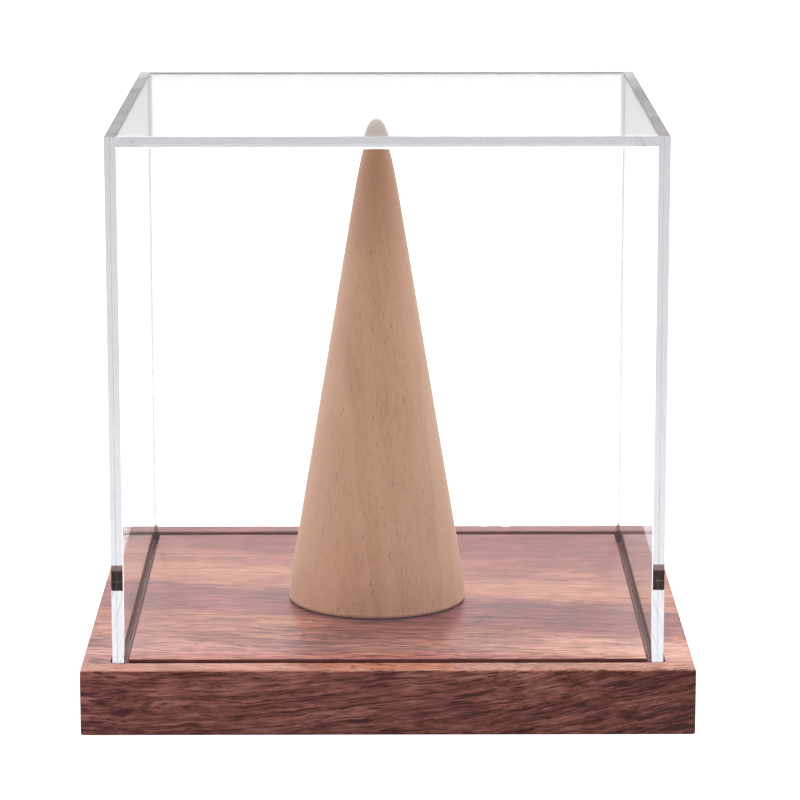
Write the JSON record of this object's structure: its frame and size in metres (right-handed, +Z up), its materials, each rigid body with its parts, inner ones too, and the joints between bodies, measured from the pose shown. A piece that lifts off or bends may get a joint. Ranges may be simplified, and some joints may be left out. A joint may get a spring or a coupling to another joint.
{
  "type": "acrylic display case",
  "caption": "Clear acrylic cube cover that drops into a groove round a solid wooden base, with a turned wooden ring cone standing inside.",
  "frame": {"origin": "on the surface the case stands on, under the middle of the base", "axes": "+Z up through the cover, -Y out of the front of the case, +X to the viewer's right"},
  "size_m": [0.11, 0.11, 0.1075],
  "materials": {
    "walnut": "satin",
    "cone_wood": "satin",
    "acrylic": "polished",
    "foot_rubber": "matte",
    "pad_foam": "matte"
  },
  "bodies": {
    "base": {"base_block": "walnut", "foot_front_left": "foot_rubber", "foot_front_right": "foot_rubber", "foot_rear_left": "foot_rubber", "foot_rear_right": "foot_rubber"},
    "cover": {"top_panel": "acrylic", "front_panel": "acrylic", "rear_panel": "acrylic", "left_panel": "acrylic", "right_panel": "acrylic"},
    "cone": {"ring_cone": "cone_wood", "cone_pad": "pad_foam"}
  },
  "joints": [
    {"name": "cover_lift", "type": "slide", "parent": "base", "child": "cover", "axis": [0, 0, 1], "range_m": [0, 0.12]},
    {"name": "cone_lift", "type": "slide", "parent": "base", "child": "cone", "axis": [0, 0, 1], "range_m": [0, 0.002]}
  ]
}
